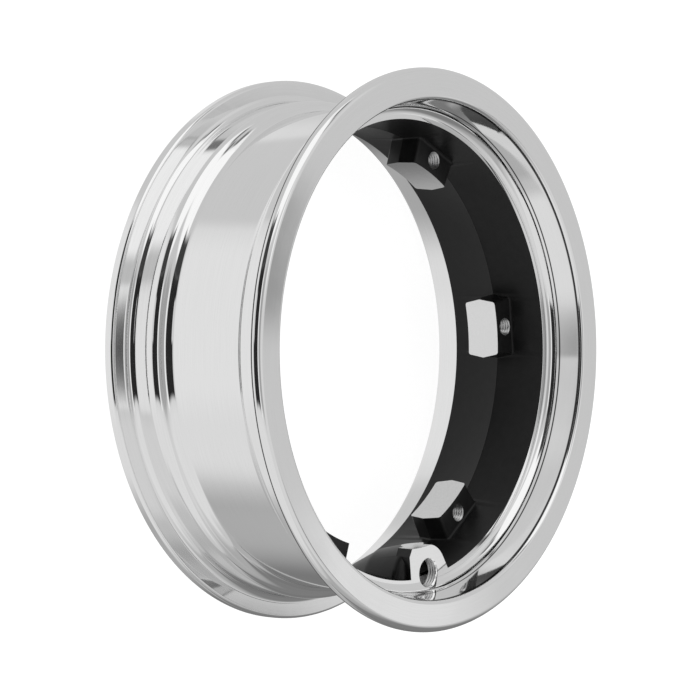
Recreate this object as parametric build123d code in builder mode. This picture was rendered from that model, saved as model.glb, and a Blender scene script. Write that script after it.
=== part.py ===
from build123d import *
import os
from math import acos, ceil, degrees, radians, sin, tan

# Rim of an electric scooter wheel, cast and turned in one piece.
# Millimetres. The wheel axis is +Z, the rear flange face lies on z = 0 and the
# valve boss lies on +X. Depths are counted inwards from a flange face.

# main sizes, from the flanges inwards
flange_radius = 90.0
rim_width = 62.8
flange_thickness = 3.6
flange_height = 7.5
well_depth = 3.7
wall_thickness = 5.7
lug_height = 8.7

# tyre side, between the flanges
seat_end_depth = 14.34
step_angle = 60.0
flange_edge_round = 1.2
flange_back_round = 0.5
seat_root_round = 1.8
step_edge_round = 2.9
step_flat = 0.25

# turned recess in both faces
face_width = 10.15
recess_draft_run = 1.4
front_recess_depth = 13.0
rear_recess_depth = 12.4
mouth_round = 0.8
recess_round = 3.4

# the most that a facet of a turned round stands off the true round
facet_gap = 0.18

# cast inside, drafted both ways from the parting plane
cast_draft = 4.0

# six lugs for the disc bolts
lug_count = 6
lug_first_angle = 30.0
lug_length = 12.4
lug_half_width = 10.3
lug_flank_angle = 5.5
lug_draft = 11.0
lug_hole_radius = 2.5
lug_hole_edge = 4.75
turning_allowance = 4.0

# valve hole and the block around its mouth
valve_hole_radius = 4.5
valve_hole_depth = 4.0
valve_hole_chamfer = 0.5
valve_wall_gap = 0.15
block_radius = 9.3
block_length = 6.5
block_corner_run = 2.0
block_corner_rise = 4.0
wall_sink = 1.5

# dome behind the block, round about its own axis
dome_axis_inset = 3.7
dome_radius = 14.0
dome_front_depth = 15.0
dome_taper_radius = 10.6
dome_taper_depth = 32.0
dome_end_radius = 5.3
dome_end_depth = 43.0
dome_front_round = 3.2
dome_rear_round = 8.0

# air pocket inside the dome, open to the tyre side, and its throat
pocket_front_depth = 20.0
pocket_rear_depth = 33.0
pocket_half_width = 6.5
pocket_reach = 2.6
pocket_corner_round = 2.5
throat_inner_offset = 5.5
throat_outer_offset = 1.4
throat_overlap = 1.0

# derived radii
seat_radius = flange_radius - flange_height
drop_radius = seat_radius - well_depth
ridge_radius = drop_radius - wall_thickness
lug_bore_radius = ridge_radius - lug_height
lug_hole_circle = lug_bore_radius + lug_hole_edge
mouth_radius = flange_radius - face_width
recess_radius = mouth_radius - recess_draft_run
countersink_radius = valve_hole_radius + valve_hole_chamfer
valve_circle = recess_radius - countersink_radius - valve_wall_gap
dome_circle = ridge_radius + dome_axis_inset
pocket_inner_radius = ridge_radius - pocket_reach
throat_inner_radius = valve_circle - throat_inner_offset
throat_outer_radius = valve_circle + throat_outer_offset

# derived heights and slopes
parting_z = rim_width / 2
front_floor_z = rim_width - front_recess_depth
throat_top_z = front_floor_z - valve_hole_depth
throat_bottom_z = rim_width - pocket_front_depth - throat_overlap
step_run = well_depth / tan(radians(step_angle))
step_length = well_depth / sin(radians(step_angle))
step_hollow_round = (step_length - step_flat) / tan(radians(step_angle) / 2) - step_edge_round
drop_start_depth = seat_end_depth + step_run
draft_slope = tan(radians(cast_draft))
front_lip_radius = ridge_radius + (front_floor_z - parting_z) * draft_slope
rear_lip_radius = ridge_radius + (parting_z - rear_recess_depth) * draft_slope
boss_reach = front_lip_radius + wall_sink

# derived ends of the lug blocks before turning
lug_inner_radius = lug_bore_radius - turning_allowance
lug_root_radius = ridge_radius + turning_allowance
flank_slope = tan(radians(lug_flank_angle))
lug_inner_half_width = lug_half_width - turning_allowance * flank_slope
lug_root_half_width = lug_half_width + (lug_height + turning_allowance) * flank_slope


def rounding(before, corner, after, radius):
    """Points of a round at a corner, turned as a few narrow cones."""
    if radius == 0:
        return [corner]
    arm_in = (before - corner).normalized()
    arm_out = (after - corner).normalized()
    half_angle = radians(arm_in.get_angle(arm_out)) / 2
    centre = corner + (arm_in + arm_out).normalized() * (radius / sin(half_angle))
    spoke = corner + arm_in * (radius / tan(half_angle)) - centre
    turn = 180 - 2 * degrees(half_angle)
    facets = ceil(turn / (2 * degrees(acos(1 - facet_gap / radius))))
    if arm_in.cross(arm_out).Z > 0:
        turn = -turn
    return [centre + spoke.rotate(Axis.Z, turn * i / facets) for i in range(facets + 1)]


def rounded_outline(corners):
    """Points of a closed outline from corners given as x, y and rounding radius."""
    spots = [Vector(x, y) for x, y, radius in corners]
    points = []
    for i, (x, y, radius) in enumerate(corners):
        after = spots[(i + 1) % len(spots)]
        points += rounding(spots[i - 1], spots[i], after, radius)
    return points


# corners of one half of the turned section, from the recess out to the drop
# centre, as radius, depth and rounding
half_section = [
    (mouth_radius, 0, mouth_round),
    (flange_radius, 0, flange_edge_round),
    (flange_radius, flange_thickness, flange_back_round),
    (seat_radius, flange_thickness, seat_root_round),
    (seat_radius, seat_end_depth, step_edge_round),
    (drop_radius, drop_start_depth, step_hollow_round),
]
front_half = [(r, rim_width - depth, rounds) for r, depth, rounds in reversed(half_section)]
inside = [
    (recess_radius, front_floor_z, recess_round),
    (front_lip_radius, front_floor_z, 0),
    (ridge_radius, parting_z, 0),
    (rear_lip_radius, rear_recess_depth, 0),
    (recess_radius, rear_recess_depth, recess_round),
]

# corners of the dome's section, from its axis inwards
dome_corners = [
    (dome_circle, rim_width - dome_front_depth, 0),
    (dome_circle - dome_radius, rim_width - dome_front_depth, dome_front_round),
    (dome_circle - dome_taper_radius, rim_width - dome_taper_depth, dome_rear_round),
    (dome_circle - dome_end_radius, rim_width - dome_end_depth, 0),
    (dome_circle, rim_width - dome_end_depth, 0),
]


# the valve boss: a short block, squared on one side and round on the other,
# and the dome behind it
with BuildPart() as boss:
    with BuildSketch(Plane.XY.offset(front_floor_z)):
        with Locations((valve_circle, 0)):
            Circle(block_radius)
        Polygon(
            (lug_inner_radius, 0),
            (lug_inner_radius, -block_radius + block_corner_rise),
            (lug_bore_radius + block_corner_run, -block_radius),
            (boss_reach, -block_radius),
            (boss_reach, block_radius),
            (valve_circle, block_radius),
            align=None,
        )
    extrude(amount=-block_length, taper=-lug_draft)
    with BuildSketch(Plane.XZ):
        with BuildLine():
            Polyline(*rounded_outline(dome_corners), close=True)
        make_face()
    revolve(axis=Axis((dome_circle, 0, 0), (0, 0, 1)))
    Cylinder(
        radius=boss_reach,
        height=rim_width,
        align=(Align.CENTER, Align.CENTER, Align.MIN),
        mode=Mode.INTERSECT,
    )

# the air pocket and its throat
with BuildPart() as pocket:
    with BuildSketch(Plane.YZ.offset(pocket_inner_radius)):
        with Locations((0, rim_width - (pocket_front_depth + pocket_rear_depth) / 2)):
            RectangleRounded(
                2 * pocket_half_width,
                pocket_rear_depth - pocket_front_depth,
                pocket_corner_round,
            )
    extrude(amount=seat_radius - pocket_inner_radius)
    with BuildSketch(Plane.XY.offset(throat_bottom_z)):
        with Locations(((throat_inner_radius + throat_outer_radius) / 2, 0)):
            Rectangle(throat_outer_radius - throat_inner_radius, 2 * pocket_half_width)
    extrude(amount=throat_top_z - throat_bottom_z)


with BuildPart() as rim:
    # the turned section
    with BuildSketch(Plane.XZ):
        with BuildLine():
            Polyline(*rounded_outline(half_section + front_half + inside), close=True)
        make_face()
    revolve(axis=Axis.Z)

    # the lugs, drafted both ways from the parting plane
    with BuildSketch(Plane.XY.offset(parting_z)) as lug_outline:
        with PolarLocations(0, lug_count, start_angle=lug_first_angle):
            Polygon(
                (lug_inner_radius, -lug_inner_half_width),
                (lug_root_radius, -lug_root_half_width),
                (lug_root_radius, lug_root_half_width),
                (lug_inner_radius, lug_inner_half_width),
                align=None,
            )
    extrude(amount=lug_length / 2, taper=lug_draft)
    extrude(lug_outline.sketch, amount=-lug_length / 2, taper=lug_draft)
    add(boss.part)

    # lugs and boss are turned to one bore
    Cylinder(
        radius=lug_bore_radius,
        height=rim_width,
        align=(Align.CENTER, Align.CENTER, Align.MIN),
        mode=Mode.SUBTRACT,
    )
    add(pocket.part, mode=Mode.SUBTRACT)

    # tapped holes
    with BuildSketch(Plane.XY.offset(parting_z)):
        with PolarLocations(lug_hole_circle, lug_count, start_angle=lug_first_angle):
            Circle(lug_hole_radius)
    extrude(amount=lug_length / 2, both=True, mode=Mode.SUBTRACT)
    with BuildSketch(Plane.XY.offset(front_floor_z)):
        with Locations((valve_circle, 0)):
            Circle(valve_hole_radius)
    extrude(amount=-valve_hole_depth, mode=Mode.SUBTRACT)

    # its countersink, which also clears the round in the corner of the recess
    with Locations((valve_circle, 0, front_floor_z - valve_hole_chamfer)):
        Cone(
            bottom_radius=valve_hole_radius,
            top_radius=countersink_radius,
            height=valve_hole_chamfer,
            align=(Align.CENTER, Align.CENTER, Align.MIN),
            mode=Mode.SUBTRACT,
        )
    with Locations((valve_circle, 0, front_floor_z)):
        Cylinder(
            radius=countersink_radius,
            height=recess_round,
            align=(Align.CENTER, Align.CENTER, Align.MIN),
            mode=Mode.SUBTRACT,
        )

rim.part.label = "rim"
os.makedirs("parts", exist_ok=True)
export_step(rim.part, "parts/rim.step")
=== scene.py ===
import math

import bpy
import numpy as np
from mathutils import Matrix, Vector


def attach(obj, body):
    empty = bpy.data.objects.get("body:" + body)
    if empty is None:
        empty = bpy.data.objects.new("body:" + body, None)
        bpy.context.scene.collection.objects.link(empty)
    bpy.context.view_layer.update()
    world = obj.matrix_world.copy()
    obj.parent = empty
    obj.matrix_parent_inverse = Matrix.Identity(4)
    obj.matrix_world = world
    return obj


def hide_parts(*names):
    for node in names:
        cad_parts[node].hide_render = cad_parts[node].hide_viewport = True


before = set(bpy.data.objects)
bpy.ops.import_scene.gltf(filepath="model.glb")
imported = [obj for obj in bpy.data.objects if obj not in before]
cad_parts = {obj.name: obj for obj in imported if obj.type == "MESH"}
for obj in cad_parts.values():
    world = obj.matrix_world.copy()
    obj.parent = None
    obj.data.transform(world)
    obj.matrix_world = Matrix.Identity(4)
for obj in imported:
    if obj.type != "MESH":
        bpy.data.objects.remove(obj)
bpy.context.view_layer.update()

# Metres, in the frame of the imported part: the wheel axis is +Z, the rear flange
# face lies on the floor and the valve boss is on +X. Depths count inwards from
# a flange face.
MM = 0.001

# turned section
flange_radius = 90.0 * MM
rim_width = 62.8 * MM
flange_thickness = 3.6 * MM
seat_radius = 82.5 * MM
drop_radius = 78.8 * MM
seat_end_depth = 14.34 * MM
step_angle = math.radians(60)
mouth_radius = 79.85 * MM
recess_radius = 78.45 * MM
front_recess_depth = 13.0 * MM
rear_recess_depth = 12.4 * MM
ridge_radius = 73.1 * MM
draft_slope = math.tan(math.radians(4))
flash_height = 0.12 * MM
flash_reach = 0.35 * MM
flange_edge_round = 0.5 * MM
front_edge_round = 2.2 * MM
flange_lean = 0.17 * MM
seat_rise = 0.23 * MM
flange_back_round = 1.1 * MM
seat_root_round = 2.5 * MM
step_edge_round = 2.9 * MM
step_hollow_round = 4.07 * MM
mouth_round = 1.4 * MM
recess_round = 3.4 * MM
arc_step = math.radians(7.5)
least_arc_steps = 2
ring_segments = 384
crease_angle = math.radians(35)

parting_z = rim_width / 2
front_floor_z = rim_width - front_recess_depth
front_lip_radius = ridge_radius + (front_floor_z - parting_z) * draft_slope
rear_lip_radius = ridge_radius + (parting_z - rear_recess_depth) * draft_slope

# lugs
lug_angles = [math.radians(30 + 60 * i) for i in range(6)]
bore_radius = 64.4 * MM
lug_half_length = 6.2 * MM
lug_half_width = 10.3 * MM
lug_end_half_width = 9.1 * MM
lug_flank_slope = math.tan(math.radians(5.5))
lug_corner_round = 1.0 * MM
lug_parting_round = 0.3 * MM
lug_root_round = 0.7 * MM
lug_root_bends = [math.radians(bend) for bend in (0.01, 20, 40, 60, 78)]
lug_root_last_bend = math.radians(80)
lug_root_margin = 0.03 * MM
lug_wall_sink = 0.3 * MM
lug_inner_reach = bore_radius - 2 * MM
lug_straight_reach = bore_radius + 3 * MM
lug_hole_circle = 69.15 * MM

# tapped holes
thread_depth = 0.5 * MM
thread_pitch = 1.0 * MM
thread_segments = 48
thread_rows_per_turn = 8
lug_hole_radius = 2.5 * MM
lug_mouth_height = 0.4 * MM
lug_mouth_widening = 0.1 * MM
lug_mouth_limit = 4 * MM
valve_hole_radius = 4.5 * MM
valve_mouth_height = 0.5 * MM
valve_mouth_limit = 5.0 * MM
countersink_search_depth = 0.6 * MM
countersink_search_reach = 6 * MM
countersink_least_rise = 0.3
countersink_most_rise = 0.95
level_face_rise = 0.99

# valve boss
valve_circle = 73.3 * MM
valve_hole_depth = 4.0 * MM
block_radius = 9.3 * MM
block_length = 6.5 * MM
block_draft = math.tan(math.radians(11))
block_corner_run = 2.0 * MM
block_corner_rise = 4.0 * MM
block_flare = math.radians(27)
dome_circle = 76.8 * MM
dome_radius = 14.0 * MM
dome_front_depth = 15.0 * MM
dome_taper_radius = 10.6 * MM
dome_taper_depth = 32.0 * MM
dome_end_radius = 5.3 * MM
dome_end_depth = 43.0 * MM
dome_front_round = 3.2 * MM
dome_rear_round = 8.0 * MM
boss_reach = front_lip_radius + 1.0 * MM
block_inner_reach = bore_radius - 4 * MM
block_outer_reach = boss_reach + 2 * MM
block_arc_steps = 12
dome_segments = 96

# air pocket
pocket_front_depth = 20.0 * MM
pocket_rear_depth = 33.0 * MM
pocket_half_width = 6.5 * MM
pocket_inner_radius = 70.5 * MM
throat_inner_radius = 67.8 * MM
throat_outer_radius = 74.7 * MM

# cutting bodies reach this far past what they cut
past = 1 * MM
bore_segments = 900

# how near a face lies to the turned section, the bore, the recess floor or a lip
# to count as part of it
section_nearness = 0.05 * MM
bore_nearness = 0.02 * MM
floor_nearness = 0.02 * MM
lip_nearness = 0.01 * MM
least_length_squared = 1e-14

# the photograph's camera, in flange radii and in the directions of the upright
# wheel: x to the right as its front face is seen, y up, z out of the front face.
# Its place is counted from the point of the wheel axis at view_origin_height.
view_turn = math.radians(83.43)
view_forward = Vector((0.77542, -0.00292, -0.63144))
view_right = Vector((0.63144, 0.0, 0.77542))
view_place = Vector((-6.41038, 0.02288, 4.79723))
view_origin_height = 0.6855
view_lens = 115.83
view_sensor = 36
view_nearest = 0.01

# the part of a noise pattern's values that spread() stretches
noise_low = 0.3
noise_high = 0.7

# light
diffuse_level = 1.0
floor_reach = 3.0
floor_segments = 96
floor_colour = 0.3
floor_glow = 0.86


def upright(vector):
    """A direction of the upright wheel, as the wheel lies in the frame."""
    return Matrix.Rotation(view_turn, 3, "Z") @ vector


def corner_arc(before, corner, after, radius):
    """Points and outward normals of one rounded corner of a counterclockwise outline."""
    arm_in = (before - corner).normalized()
    arm_out = (after - corner).normalized()
    if radius == 0:
        return [(corner, None)]
    half_angle = arm_in.angle(arm_out) / 2
    convex = arm_in.x * arm_out.y - arm_in.y * arm_out.x < 0
    centre = corner + (arm_in + arm_out).normalized() * (radius / math.sin(half_angle))
    spoke = corner + arm_in * (radius / math.tan(half_angle)) - centre
    turn = (math.pi - 2 * half_angle) * (1 if convex else -1)
    count = max(least_arc_steps, round(abs(turn) / arc_step))
    found = []
    for i in range(count + 1):
        arm = Matrix.Rotation(turn * i / count, 2) @ spoke
        found.append((centre + arm, arm.normalized() * (1 if convex else -1)))
    return found


def outline(corners):
    """Segments of a closed counterclockwise outline: start, end and the normals there."""
    spots = [Vector((x, y)) for x, y, radius in corners]
    points = []
    for i, (x, y, radius) in enumerate(corners):
        after = spots[(i + 1) % len(spots)]
        points += corner_arc(spots[i - 1], spots[i], after, radius)
    segments = []
    for i, (start, start_normal) in enumerate(points):
        end, end_normal = points[(i + 1) % len(points)]
        along = (end - start).normalized()
        flat = Vector((along.y, -along.x))
        segments.append((start, end, start_normal or flat, end_normal or flat))
    return segments


def half_section(depth_to_z, edge_round):
    """Corners of one half of the section: radius, height, rounding."""
    step_run = (seat_radius - drop_radius) / math.tan(step_angle)
    rows = [
        (mouth_radius, 0, mouth_round),
        (flange_radius, 0, edge_round),
        (flange_radius, flange_thickness, flange_back_round),
        (seat_radius, flange_thickness - flange_lean, seat_root_round),
        (seat_radius + seat_rise, seat_end_depth, step_edge_round),
        (drop_radius, seat_end_depth + step_run, step_hollow_round),
    ]
    return [(radius, depth_to_z(depth), rounds) for radius, depth, rounds in rows]


def turned_section():
    """The whole section as outline segments."""
    rear = half_section(lambda depth: depth, flange_edge_round)
    front = half_section(lambda depth: rim_width - depth, front_edge_round)[::-1]
    inside = [
        (recess_radius, front_floor_z, recess_round),
        (front_lip_radius, front_floor_z, 0),
        (ridge_radius, parting_z + flash_reach, 0),
        (ridge_radius - flash_height, parting_z, 0),
        (ridge_radius, parting_z - flash_reach, 0),
        (rear_lip_radius, rear_recess_depth, 0),
        (recess_radius, rear_recess_depth, recess_round),
    ]
    return outline(rear + front + inside)


def new_object(name, vertices, faces, slots, materials):
    """An object of one mesh with a material slot for each face."""
    mesh = bpy.data.meshes.new(name)
    mesh.from_pydata(vertices, [], faces)
    for material in materials:
        mesh.materials.append(material)
    mesh.polygons.foreach_set("material_index", slots)
    mesh.update()
    made = bpy.data.objects.new(name, mesh)
    bpy.context.collection.objects.link(made)
    return made


def revolved(name, points, slots, segments, materials):
    """A closed outline of radius and height turned about the wheel axis."""
    count = len(points)
    vertices = []
    for i in range(segments):
        angle = 2 * math.pi * i / segments
        for radius, z in points:
            vertices.append((radius * math.cos(angle), radius * math.sin(angle), z))
    faces = []
    for i in range(segments):
        near, far = i * count, (i + 1) % segments * count
        for j in range(count):
            k = (j + 1) % count
            faces.append((near + j, far + j, far + k, near + k))
    return new_object(name, vertices, faces, slots * segments, materials)


def stacked(name, loops, slot, materials):
    """A closed body through loops of points from bottom to top, counterclockwise from above."""
    count = len(loops[0])
    vertices = [point for loop in loops for point in loop]
    faces = [tuple(range(count))[::-1]]
    for i in range(len(loops) - 1):
        low, high = i * count, (i + 1) * count
        for j in range(count):
            k = (j + 1) % count
            faces.append((low + j, low + k, high + k, high + j))
    last = (len(loops) - 1) * count
    faces.append(tuple(range(last, last + count)))
    return new_object(name, vertices, faces, [slot] * len(faces), materials)


def combine(base, tool, operation):
    """The exact union, difference or intersection of two bodies, kept in base."""
    modifier = base.modifiers.new("combine", "BOOLEAN")
    modifier.object = tool
    modifier.operation = operation
    modifier.solver = "EXACT"
    modifier.material_mode = "INDEX"
    depsgraph = bpy.context.evaluated_depsgraph_get()
    mesh = bpy.data.meshes.new_from_object(base.evaluated_get(depsgraph), depsgraph=depsgraph)
    base.modifiers.clear()
    base.data = mesh
    bpy.data.objects.remove(tool)
    return base


def joined(name, objects):
    """Separate bodies as one object."""
    vertices, faces, slots = [], [], []
    materials = list(objects[0].data.materials)
    for made in objects:
        start = len(vertices)
        vertices += [tuple(vertex.co) for vertex in made.data.vertices]
        faces += [tuple(start + i for i in face.vertices) for face in made.data.polygons]
        slots += [face.material_index for face in made.data.polygons]
        bpy.data.objects.remove(made)
    return new_object(name, vertices, faces, slots, materials)


POLISHED, PAINT, MACHINED, THREAD = range(4)


def wheel_ring(materials):
    """The turned ring, black between the two lips."""
    segments = turned_section()
    points = [tuple(start) for start, end, start_normal, end_normal in segments]
    slots = []
    for start, end, start_normal, end_normal in segments:
        inside = max(start.x, end.x) < max(front_lip_radius, rear_lip_radius) + lip_nearness
        slots.append(PAINT if inside else POLISHED)
    return revolved("ring", points, slots, ring_segments, materials)


def wall_radius(z):
    """Radius of the cast inside at a height."""
    return ridge_radius + abs(z - parting_z) * draft_slope


def lug_outline():
    """Places across a lug and along the wheel axis around its end, with their normals."""
    corners = [
        (lug_half_width, 0, lug_parting_round),
        (lug_end_half_width, lug_half_length, lug_corner_round),
        (-lug_end_half_width, lug_half_length, lug_corner_round),
        (-lug_half_width, 0, lug_parting_round),
        (-lug_end_half_width, -lug_half_length, lug_corner_round),
        (lug_end_half_width, -lug_half_length, lug_corner_round),
    ]
    return [(start, normal) for start, end, normal, end_normal in outline(corners)]


def lug_root_levels():
    """Depth past the cast wall and widening, for each loop of the round at a lug's root."""
    levels = []
    for bend in lug_root_bends:
        depth = -lug_root_round * (1 - math.sin(bend))
        levels.append((depth, lug_root_round * (1 - math.cos(bend))))
    widest = lug_root_round * (1 - math.cos(lug_root_last_bend)) + lug_root_margin
    levels.append((lug_wall_sink, widest))
    return levels


def flank_shift(across, reach):
    """How far a lug's flank has moved out sideways at a distance from the wheel axis."""
    outward = math.copysign(1, across)
    return outward * (reach - bore_radius) * lug_flank_slope * abs(across) / lug_half_width


def lug(angle, materials):
    """One cast lug: a drafted block with a round at its root, reaching in past the bore."""
    inward = Vector((math.cos(angle), math.sin(angle), 0))
    along = Vector((-math.sin(angle), math.cos(angle), 0))
    ends = lug_outline()
    loops = []
    for reach in (lug_inner_reach, lug_straight_reach):
        loop = []
        for spot, normal in ends:
            point = inward * reach + along * (spot.x + flank_shift(spot.x, reach))
            loop.append((point.x, point.y, parting_z + spot.y))
        loops.append(loop)
    for depth, widening in lug_root_levels():
        loop = []
        for spot, normal in ends:
            z = spot.y + normal.y * widening
            reach = wall_radius(parting_z + z) + depth
            across = spot.x + normal.x * widening + flank_shift(spot.x, reach)
            point = inward * math.sqrt(max(reach * reach - across * across, 0)) + along * across
            loop.append((point.x, point.y, parting_z + z))
        loops.append(loop)
    return stacked("lug", loops, PAINT, materials)


def bore_cutter(materials):
    """The turning of the bore through lugs and boss."""
    return cylinder("bore", bore_radius, -past, rim_width + past, bore_segments, MACHINED, materials)


def threaded_rod(centre, bottom, top, hole_radius, mouths, materials):
    """The body of a tapped hole. A mouth is a cone: its height, which way it opens
    (1 up, -1 down), its radius there and the most it widens to."""
    rows = max(2, round((top - bottom) / thread_pitch * thread_rows_per_turn))
    loops = []
    for i in range(rows + 1):
        z = bottom + (top - bottom) * i / rows
        loop = []
        for j in range(thread_segments):
            angle = 2 * math.pi * j / thread_segments
            phase = (z / thread_pitch - angle / (2 * math.pi)) % 1
            radius = hole_radius + thread_depth * (1 - abs(2 * phase - 1))
            for height, way, base, limit in mouths:
                radius = max(radius, min(base + way * (z - height), limit))
            x = centre[0] + radius * math.cos(angle)
            y = centre[1] + radius * math.sin(angle)
            loop.append((x, y, z))
        loops.append(loop)
    return stacked("tap", loops, THREAD, materials)


def boss_block(materials):
    """The squared and rounded block around the valve hole, drafted towards the rear."""
    flare_start = valve_circle - block_radius * math.sin(block_flare)
    flare_y = block_radius * math.cos(block_flare)
    flare_end_y = flare_y + (block_outer_reach - flare_start) * math.tan(block_flare)
    points = [
        (block_inner_reach, -block_radius + block_corner_rise),
        (bore_radius + block_corner_run, -block_radius),
        (block_outer_reach, -block_radius),
        (block_outer_reach, flare_end_y),
    ]
    for i in range(block_arc_steps + 1):
        turn = block_flare + (math.pi / 2 - block_flare) * i / block_arc_steps
        points.append((valve_circle - block_radius * math.sin(turn), block_radius * math.cos(turn)))
    points.append((block_inner_reach, 0))
    loops = []
    for z in (front_floor_z - block_length, front_floor_z):
        shrink = (front_floor_z - z) * block_draft
        loops.append([(x, y * (1 - shrink / block_radius), z) for x, y in points])
    return stacked("block", loops, PAINT, materials)


def boss_dome(materials):
    """The dome behind the block, turned about its own axis."""
    corners = [
        (0, rim_width - dome_end_depth, 0),
        (dome_end_radius, rim_width - dome_end_depth, 0),
        (dome_taper_radius, rim_width - dome_taper_depth, dome_rear_round),
        (dome_radius, rim_width - dome_front_depth, dome_front_round),
        (0, rim_width - dome_front_depth, 0),
    ]
    points = [tuple(start) for start, end, start_normal, end_normal in outline(corners)]
    loops = []
    for radius, z in points[1:-1]:
        loop = []
        for i in range(dome_segments):
            angle = 2 * math.pi * i / dome_segments
            loop.append((dome_circle + radius * math.cos(angle), radius * math.sin(angle), z))
        loops.append(loop)
    return stacked("dome", loops, PAINT, materials)


def cylinder(name, radius, bottom, top, segments, slot, materials):
    """An upright cylinder on the wheel axis."""
    turns = [2 * math.pi * i / segments for i in range(segments)]
    ring = [(radius * math.cos(turn), radius * math.sin(turn)) for turn in turns]
    loops = [[(x, y, z) for x, y in ring] for z in (bottom, top)]
    return stacked(name, loops, slot, materials)


def box(name, low, high, slot, materials):
    """A square-cornered body."""
    loops = [
        [(low[0], low[1], z), (high[0], low[1], z), (high[0], high[1], z), (low[0], high[1], z)]
        for z in (low[2], high[2])
    ]
    return stacked(name, loops, slot, materials)


def valve_boss(materials):
    """Block and dome, turned to the bore and trimmed to the ring."""
    boss = combine(boss_block(materials), boss_dome(materials), "UNION")
    boss = combine(boss, bore_cutter(materials), "DIFFERENCE")
    trim = cylinder("trim", boss_reach, -past, rim_width, ring_segments, PAINT, materials)
    return combine(boss, trim, "INTERSECT")


def pocket_cutters(materials):
    """The air pocket in the dome and its throat."""
    high = rim_width - pocket_front_depth
    low = rim_width - pocket_rear_depth
    throat_top = front_floor_z - valve_hole_depth
    pocket = box(
        "pocket",
        (pocket_inner_radius, -pocket_half_width, low),
        (seat_radius, pocket_half_width, high),
        PAINT,
        materials,
    )
    throat = box(
        "throat",
        (throat_inner_radius, -pocket_half_width, high - past),
        (throat_outer_radius, pocket_half_width, throat_top),
        PAINT,
        materials,
    )
    return combine(pocket, throat, "UNION")


def lug_hole(angle, materials):
    """The tapped hole through one lug, with a mouth at each end."""
    low = parting_z - lug_half_length
    high = parting_z + lug_half_length
    centre = (lug_hole_circle * math.cos(angle), lug_hole_circle * math.sin(angle))
    mouth_base = lug_hole_radius + lug_mouth_widening
    mouths = [
        (high - lug_mouth_height, 1, mouth_base, lug_mouth_limit),
        (low + lug_mouth_height, -1, mouth_base, lug_mouth_limit),
    ]
    bottom = low - lug_mouth_height
    top = high + lug_mouth_height
    return threaded_rod(centre, bottom, top, lug_hole_radius, mouths, materials)


def valve_hole(materials):
    """The valve's tapped hole, which also clears the round in the corner of the recess."""
    bottom = front_floor_z - valve_hole_depth
    top = front_floor_z + recess_round
    mouths = [(front_floor_z - valve_mouth_height, 1, valve_hole_radius, valve_mouth_limit)]
    return threaded_rod((valve_circle, 0), bottom, top, valve_hole_radius, mouths, materials)


def tapped_holes(materials):
    """The bodies of all the tapped holes."""
    holes = [lug_hole(angle, materials) for angle in lug_angles]
    return joined("holes", holes + [valve_hole(materials)])


def profile_normals(profile, section):
    """Normals in the section at points of one face, or None where it isn't turned."""
    starts, ends, first, second = section
    runs = ends - starts
    lengths = np.maximum((runs ** 2).sum(1), least_length_squared)
    middle = (profile.min(0) + profile.max(0)) / 2
    share = np.clip(((middle - starts) * runs).sum(1) / lengths, 0, 1)
    away = ((starts + share[:, None] * runs - middle) ** 2).sum(1)
    best = int(away.argmin())
    if away[best] > section_nearness ** 2:
        return None
    share = ((profile - starts[best]) * runs[best]).sum(1) / lengths[best]
    share = np.clip(share, 0, 1)[:, None]
    flat = first[best] * (1 - share) + second[best] * share
    return flat / np.linalg.norm(flat, axis=1)[:, None]


def turned_normals(mesh, segments):
    """True normals on the turned ring and the bore; other faces keep their own."""
    section = [np.array([tuple(segment[i]) for segment in segments]) for i in range(4)]
    points = np.empty(len(mesh.vertices) * 3)
    mesh.vertices.foreach_get("co", points)
    points = points.reshape(-1, 3)
    normals = np.empty(len(mesh.loops) * 3)
    mesh.corner_normals.foreach_get("vector", normals)
    normals = normals.reshape(-1, 3)
    for face in mesh.polygons:
        corners = list(face.loop_indices)
        spots = points[list(face.vertices)]
        reach = np.hypot(spots[:, 0], spots[:, 1])
        if face.material_index == MACHINED and abs(reach - bore_radius).max() < bore_nearness:
            normals[corners, :2] = -spots[:, :2] / reach[:, None]
            normals[corners, 2] = 0
        elif face.material_index == POLISHED:
            flat = profile_normals(np.stack([reach, spots[:, 2]], axis=1), section)
            if flat is not None:
                normals[corners, 0] = flat[:, 0] * spots[:, 0] / reach
                normals[corners, 1] = flat[:, 0] * spots[:, 1] / reach
                normals[corners, 2] = flat[:, 1]
    mesh.normals_split_custom_set(normals.tolist())


def shade(mesh, crease):
    """Smooth faces with sharp edges where the surface turns by more than crease."""
    mesh.polygons.foreach_set("use_smooth", [True] * len(mesh.polygons))
    mesh.set_sharp_from_angle(angle=crease)


def face_off_boss(mesh):
    """The block's front and the countersink of its hole are turned bright."""
    countersink_bottom = front_floor_z - countersink_search_depth
    valve_side = valve_circle - countersink_search_reach
    for face in mesh.polygons:
        place = face.center
        rise = face.normal.z
        level = abs(place.z - front_floor_z) < floor_nearness and rise > level_face_rise
        sloping = countersink_least_rise < rise < countersink_most_rise
        at_mouth = countersink_bottom < place.z < front_floor_z and place.x > valve_side
        if level and face.material_index == PAINT:
            face.material_index = POLISHED
        if sloping and at_mouth and face.material_index == THREAD:
            face.material_index = POLISHED


def cast_and_turned_rim(materials):
    """The whole rim as one closed mesh."""
    rim = wheel_ring(materials)
    lugs = []
    for angle in lug_angles:
        lugs.append(combine(lug(angle, materials), bore_cutter(materials), "DIFFERENCE"))
    additions = joined("lugs", lugs + [valve_boss(materials)])
    rim = combine(rim, additions, "UNION")
    rim = combine(rim, pocket_cutters(materials), "DIFFERENCE")
    rim = combine(rim, tapped_holes(materials), "DIFFERENCE")
    face_off_boss(rim.data)
    rim.name = "rim_visual"
    rim.data.name = "rim_visual"
    return rim


def wire(tree, source, target):
    """Sets an input from another node's output or from a plain value."""
    if hasattr(source, "is_output"):
        tree.links.new(source, target)
    else:
        target.default_value = source


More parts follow.
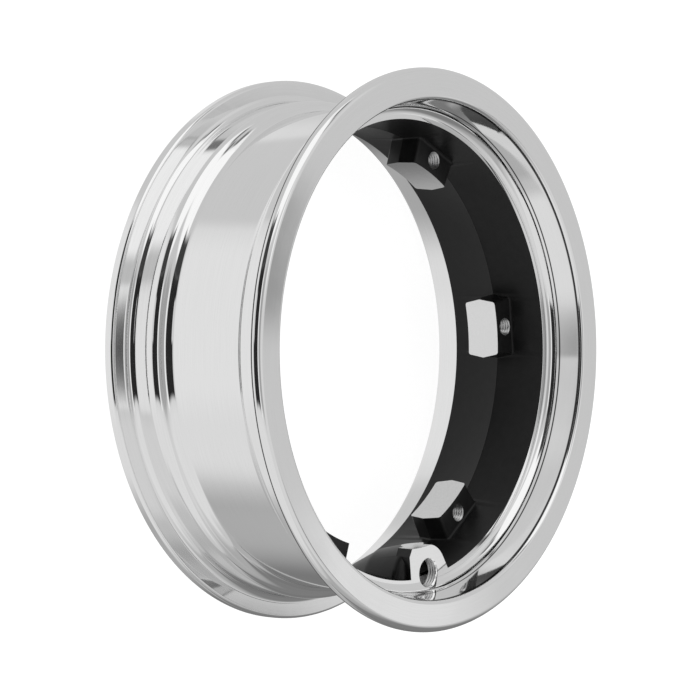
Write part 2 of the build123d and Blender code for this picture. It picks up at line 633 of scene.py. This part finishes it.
def calculate(tree, operation, first, second=0.0):
    """One Math node's result."""
    node = tree.nodes.new("ShaderNodeMath")
    node.operation = operation
    wire(tree, first, node.inputs[0])
    wire(tree, second, node.inputs[1])
    return node.outputs[0]


def ramp_up(tree, value, low, high):
    """0 below low, 1 above high, smooth between."""
    node = tree.nodes.new("ShaderNodeMapRange")
    node.interpolation_type = "SMOOTHSTEP"
    wire(tree, value, node.inputs["Value"])
    node.inputs["From Min"].default_value = low
    node.inputs["From Max"].default_value = high
    return node.outputs[0]


def window(tree, value, low, high, soft):
    """1 between low and high, 0 outside, with soft edges."""
    rise = ramp_up(tree, value, low - soft / 2, low + soft / 2)
    fall = ramp_up(tree, value, high - soft / 2, high + soft / 2)
    return calculate(tree, "MULTIPLY", rise, calculate(tree, "SUBTRACT", 1.0, fall))


def sum_of_squares(tree, first, second):
    """The two values squared and added."""
    squares = [calculate(tree, "MULTIPLY", value, value) for value in (first, second)]
    return calculate(tree, "ADD", *squares)


def blend_value(tree, share, first, second):
    """First where share is 0, second where it is 1."""
    node = tree.nodes.new("ShaderNodeMix")
    wire(tree, share, node.inputs["Factor"])
    wire(tree, first, node.inputs["A"])
    wire(tree, second, node.inputs["B"])
    return node.outputs["Result"]


def wheel_places(tree):
    """Millimetre places for patterns: the plain place, the first three and the fourth
    value of one that runs round the wheel without a seam, and (radius, height)."""
    scaled = tree.nodes.new("ShaderNodeVectorMath")
    scaled.operation = "SCALE"
    scaled.inputs["Scale"].default_value = 1 / MM
    place = tree.nodes.new("ShaderNodeTexCoord").outputs["Object"]
    tree.links.new(place, scaled.inputs[0])
    parts = tree.nodes.new("ShaderNodeSeparateXYZ")
    tree.links.new(scaled.outputs[0], parts.inputs[0])
    x, y, z = parts.outputs
    radius = calculate(tree, "SQRT", sum_of_squares(tree, x, y))
    around = tree.nodes.new("ShaderNodeCombineXYZ")
    tree.links.new(radius, around.inputs[0])
    tree.links.new(z, around.inputs[1])
    tree.links.new(calculate(tree, "DIVIDE", x, radius), around.inputs[2])
    fourth = calculate(tree, "DIVIDE", y, radius)
    return scaled.outputs[0], around.outputs[0], fourth, (radius, z)


def ring_line(tree, spot, radius, height, reach):
    """1 on a thin circle about the wheel axis, with its sizes in metres, and 0 off it."""
    across = calculate(tree, "SUBTRACT", spot[0], radius / MM)
    upward = calculate(tree, "SUBTRACT", spot[1], height / MM)
    away = calculate(tree, "SQRT", sum_of_squares(tree, across, upward))
    return calculate(tree, "SUBTRACT", 1.0, ramp_up(tree, away, reach / MM * 0.5, reach / MM))


def noise(tree, place, scale, detail=2.0, fourth=None):
    """A noise pattern with about so many grains in a millimetre."""
    node = tree.nodes.new("ShaderNodeTexNoise")
    node.noise_dimensions = "3D" if fourth is None else "4D"
    tree.links.new(place, node.inputs["Vector"])
    if fourth is not None:
        tree.links.new(fourth, node.inputs["W"])
    node.inputs["Scale"].default_value = scale
    node.inputs["Detail"].default_value = detail
    return node.outputs["Fac"]


def spread(tree, value, low, high):
    """A pattern's middle range stretched over low to high."""
    node = tree.nodes.new("ShaderNodeMapRange")
    wire(tree, value, node.inputs["Value"])
    node.inputs["From Min"].default_value = noise_low
    node.inputs["From Max"].default_value = noise_high
    node.inputs["To Min"].default_value = low
    node.inputs["To Max"].default_value = high
    return node.outputs[0]


def grey(tree, value, shader):
    """A grey base colour from a value."""
    colour = tree.nodes.new("ShaderNodeCombineColor")
    for channel in colour.inputs:
        tree.links.new(value, channel)
    tree.links.new(colour.outputs[0], shader.inputs["Base Color"])


def bump(tree, layers, shader):
    """Relief from patterns, each with its height in metres."""
    normal = None
    for pattern, height in layers:
        node = tree.nodes.new("ShaderNodeBump")
        node.inputs["Strength"].default_value = 1
        node.inputs["Distance"].default_value = height
        tree.links.new(pattern, node.inputs["Height"])
        if normal is not None:
            tree.links.new(normal, node.inputs["Normal"])
        normal = node.outputs[0]
    tree.links.new(normal, shader.inputs["Normal"])


def new_material(name, metallic):
    """A material with its node tree and its shader."""
    material = bpy.data.materials.new(name)
    material.use_nodes = True
    shader = material.node_tree.nodes["Principled BSDF"]
    shader.inputs["Metallic"].default_value = metallic
    return material, material.node_tree, shader


# painted dark reflection lines on the polished metal, at the recess mouth, low on the recess wall
# and on the front flange's edge: radius, height and reach
painted_dark_reflection_lines = [
    (79.7 * MM, rim_width - 1.45 * MM, 0.45 * MM),
    (78.7 * MM, rim_width - 9.0 * MM, 0.42 * MM),
    (90.0 * MM, rim_width - 2.7 * MM, 0.36 * MM),
]


def polished_aluminium():
    """Mirror-bright metal with faint turning marks, slight haze and painted dark reflection lines.
    """
    material, tree, shader = new_material("polished_aluminium", 1)
    place, around, fourth, spot = wheel_places(tree)
    marks = noise(tree, around, 5, 3, fourth)
    haze = noise(tree, place, 0.09, 3)
    brightness = spread(tree, marks, 0.86, 0.90)
    # each circle darkens the base colour to 0.06 as a painted dark reflection
    for radius, height, reach in painted_dark_reflection_lines:
        line = ring_line(tree, spot, radius, height, reach)
        brightness = blend_value(tree, line, brightness, 0.06)
    grey(tree, brightness, shader)
    tree.links.new(spread(tree, haze, 0.035, 0.075), shader.inputs["Roughness"])
    bump(tree, [(marks, 0.0004 * MM), (haze, 0.004 * MM)], shader)
    return material


def black_paint():
    """Satin black paint with the fine grain of the casting under it."""
    material, tree, shader = new_material("black_paint", 0)
    place = wheel_places(tree)[0]
    grain = noise(tree, place, 3, 3)
    cast = noise(tree, place, 0.35, 2)
    grey(tree, spread(tree, cast, 0.007, 0.010), shader)
    shader.inputs["Specular IOR Level"].default_value = 0.24
    tree.links.new(spread(tree, grain, 0.30, 0.38), shader.inputs["Roughness"])
    bump(tree, [(cast, 0.02 * MM), (grain, 0.004 * MM)], shader)
    return material


def turned_aluminium():
    """Bright metal with the lathe's lines around the bore."""
    material, tree, shader = new_material("turned_aluminium", 1)
    place, around, fourth = wheel_places(tree)[:3]
    lines = noise(tree, around, 7, 2, fourth)
    grain = noise(tree, place, 1.2, 3)
    grey(tree, spread(tree, grain, 0.80, 0.84), shader)
    tree.links.new(spread(tree, grain, 0.16, 0.22), shader.inputs["Roughness"])
    bump(tree, [(lines, 0.00015 * MM)], shader)
    return material


def thread_metal():
    """The duller metal inside the tapped holes."""
    material, tree, shader = new_material("thread_metal", 1)
    place = wheel_places(tree)[0]
    grain = noise(tree, place, 2.5, 3)
    grey(tree, spread(tree, grain, 0.48, 0.62), shader)
    tree.links.new(spread(tree, grain, 0.28, 0.4), shader.inputs["Roughness"])
    bump(tree, [(grain, 0.01 * MM)], shader)
    return material


materials = [polished_aluminium(), black_paint(), turned_aluminium(), thread_metal()]
rim = cast_and_turned_rim(materials)
shade(rim.data, crease_angle)
turned_normals(rim.data, turned_section())
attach(rim, "root")
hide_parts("rim")


def make_camera():
    """The photograph's view."""
    forward = upright(view_forward.normalized())
    right = upright(view_right.normalized())
    up = right.cross(forward)
    place = upright(view_place * flange_radius)
    place.z += view_origin_height * flange_radius
    lens = bpy.data.cameras.new("camera")
    lens.lens = view_lens
    lens.sensor_width = view_sensor
    lens.clip_start = view_nearest
    seen = bpy.data.objects.new("camera", lens)
    facing = Matrix((right, up, -forward)).transposed().to_4x4()
    seen.matrix_world = Matrix.Translation(place) @ facing
    bpy.context.collection.objects.link(seen)
    bpy.context.scene.camera = seen


# what the metal reflects, by bearing and height in degrees as the upright wheel
# sees it: bearing 0 is level to the left, 90 straight out of the front face
studio_level = 0.62
studio_patches = [
    # bearing from, to, height from, to, edge, brightness
    (-130, -30, -52, 42, 22, 0.83),
    (-150, -66, -60, -26, 34, 0.42),
    (-170, -116, -42, -6, 24, 0.20),
    (-140, -57, 41, 75, 4, 0.63),
    (-60, 80, -75, -19, 16, 0.78),
    (-130, -80, -90, -50, 14, 0.46),
    (-195, -138, -75, -20, 20, 0.20),
    (100, 136, -95, -34, 20, 0.44),
    (134, 195, -95, -22, 20, 0.22),
    (82, 120, -40, 6, 14, 0.72),
    (102, 135, 6, 36, 10, 0.70),
    (10, 108, 31, 85, 6, 1.05),
    (104, 130, 58, 85, 8, 0.95),
    (94, 110, 8, 24, 8, 0.95),
    (54, 82, -15, 20, 6, 0.38),
    (42, 54, -20, 22, 3, 0.92),
    (110, 124, 48, 60, 5, 0.18),
    (109, 116, 38, 44, 3, 0.20),
    (132, 139.5, -10, -5.2, 1.2, 0.12),
    (136, 139.6, 0.5, 4.2, 1.5, 0.35),
    (139.8, 144, -9, -4, 2, 0.80),
    (-21, 41, -19, 30, 4, 0.022),
    (-21, 41, 28, 46, 6, 0.05),
    (-22, -11, 3, 20, 3, 0.70),
]


def surroundings(tree):
    """The studio as polished metal reflects it."""
    coordinates = tree.nodes.new("ShaderNodeTexCoord")
    axes = []
    for axis in (Vector((-1, 0, 0)), Vector((0, 0, 1)), Vector((0, 1, 0))):
        dot = tree.nodes.new("ShaderNodeVectorMath")
        dot.operation = "DOT_PRODUCT"
        tree.links.new(coordinates.outputs["Generated"], dot.inputs[0])
        dot.inputs[1].default_value = upright(axis)
        axes.append(dot.outputs["Value"])
    left, front, up = axes
    to_degrees = 180 / math.pi
    bearing = calculate(tree, "MULTIPLY", calculate(tree, "ARCTAN2", front, left), to_degrees)
    height = calculate(tree, "MULTIPLY", calculate(tree, "ARCSINE", up), to_degrees)
    level = studio_level
    for start, end, low, high, edge, brightness in studio_patches:
        across = window(tree, bearing, start, end, edge)
        upward = window(tree, height, low, high, edge)
        level = blend_value(tree, calculate(tree, "MULTIPLY", across, upward), level, brightness)
    return level


def make_world():
    """White behind the object, plain light on it, and the studio in its reflections."""
    world = bpy.data.worlds.new("studio")
    bpy.context.scene.world = world
    world.use_nodes = True
    tree = world.node_tree
    background = tree.nodes["Background"]
    background.inputs["Color"].default_value = (1, 1, 1, 1)
    path = tree.nodes.new("ShaderNodeLightPath")
    mirrored = calculate(
        tree, "MAXIMUM", path.outputs["Is Glossy Ray"], path.outputs["Is Transmission Ray"]
    )
    level = blend_value(tree, mirrored, diffuse_level, surroundings(tree))
    level = blend_value(tree, path.outputs["Is Camera Ray"], level, 1.0)
    tree.links.new(level, background.inputs["Strength"])


def make_floor():
    """A pale round floor that shows white and keeps the shadow."""
    turns = [2 * math.pi * i / floor_segments for i in range(floor_segments)]
    vertices = [(floor_reach * math.cos(turn), floor_reach * math.sin(turn), 0) for turn in turns]
    mesh = bpy.data.meshes.new("floor")
    mesh.from_pydata(vertices, [], [tuple(range(floor_segments))])
    floor = bpy.data.objects.new("floor", mesh)
    bpy.context.collection.objects.link(floor)
    material = bpy.data.materials.new("pale_floor")
    material.use_nodes = True
    tree = material.node_tree
    shader = tree.nodes["Principled BSDF"]
    shader.inputs["Base Color"].default_value = (floor_colour, floor_colour, floor_colour, 1)
    shader.inputs["Roughness"].default_value = 1
    shader.inputs["Specular IOR Level"].default_value = 0
    shader.inputs["Emission Color"].default_value = (1, 1, 1, 1)
    path = tree.nodes.new("ShaderNodeLightPath")
    seen = calculate(tree, "MULTIPLY", path.outputs["Is Camera Ray"], floor_glow)
    tree.links.new(seen, shader.inputs["Emission Strength"])
    mesh.materials.append(material)
    floor.visible_glossy = False


make_camera()
make_world()
make_floor()
bpy.context.scene.view_settings.view_transform = "Standard"
